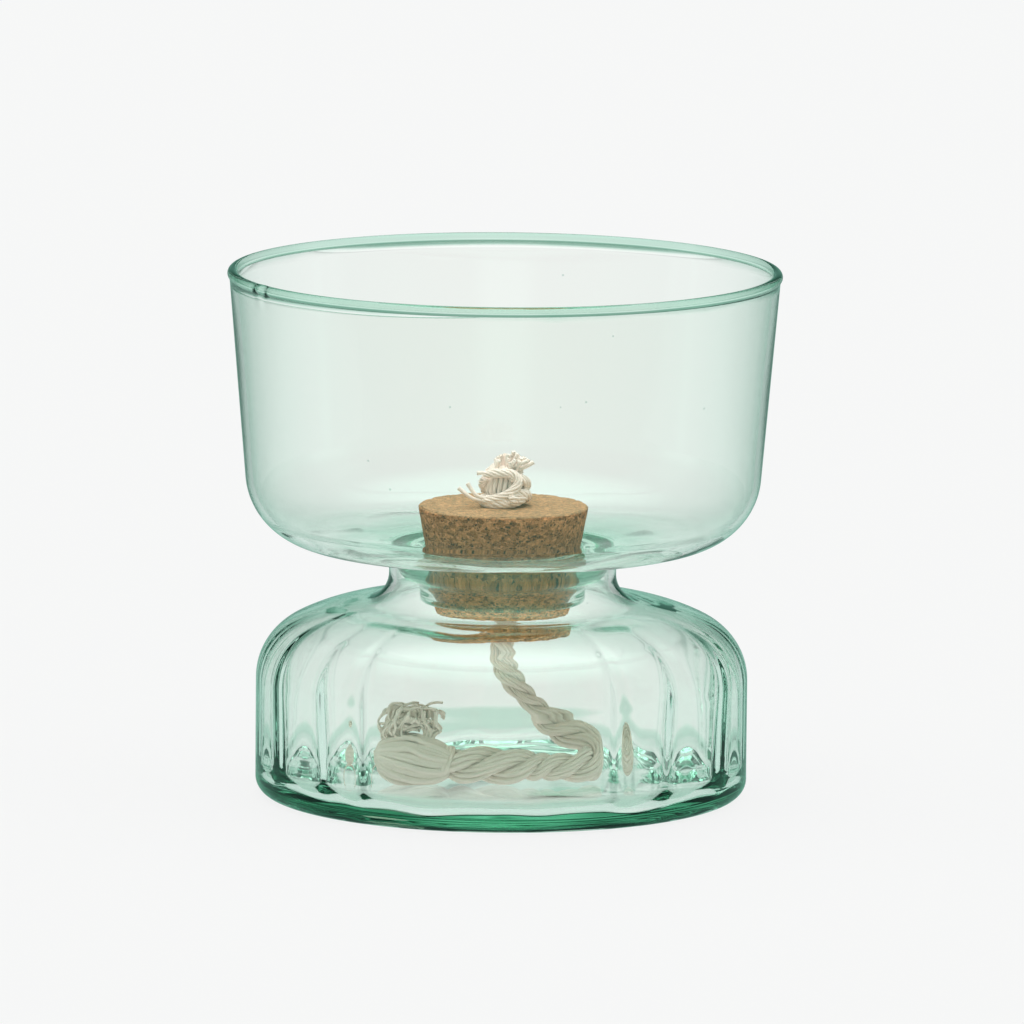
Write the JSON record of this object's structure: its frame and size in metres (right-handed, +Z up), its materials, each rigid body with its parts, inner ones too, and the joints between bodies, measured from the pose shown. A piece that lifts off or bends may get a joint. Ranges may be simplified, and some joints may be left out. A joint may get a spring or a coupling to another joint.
{
  "type": "wick-fed glass planter",
  "caption": "Open glass bowl standing in the neck of a ribbed glass jar, plugged by a tapered cork that holds a knotted cotton rope wick.",
  "frame": {"origin": "centre of the jar's foot, on the surface the object stands on", "axes": "+Z up along the common axis of jar, bowl and cork; -Y towards the viewer; the wick lies along X"},
  "size_m": [0.18, 0.18, 0.172],
  "materials": {
    "jar_glass": "pale green recycled glass, optic ribs",
    "bowl_glass": "pale green recycled glass, smooth",
    "cork": "pressed cork grains, sanded",
    "cotton_rope": "undyed three-strand cotton rope, matt"
  },
  "bodies": {
    "reservoir": {"reservoir_jar": "jar_glass"},
    "bowl": {"planter_bowl": "bowl_glass"},
    "stopper": {"cork_stopper": "cork", "wick_in_cork": "cotton_rope", "wick_rope": "cotton_rope", "top_knot": "cotton_rope", "top_yarn_tuft": "cotton_rope", "top_loose_yarns": "cotton_rope", "bottom_knot": "cotton_rope", "bottom_yarn_tuft": "cotton_rope", "bottom_loose_yarn": "cotton_rope"}
  },
  "joints": [
    {"name": "bowl_lift", "type": "slide", "parent": "reservoir", "child": "bowl", "axis": [0, 0, 1], "range_m": [0, 0.0175]},
    {"name": "stopper_lift", "type": "slide", "parent": "bowl", "child": "stopper", "axis": [0, 0, 1], "range_m": [0, 0.0235]}
  ]
}
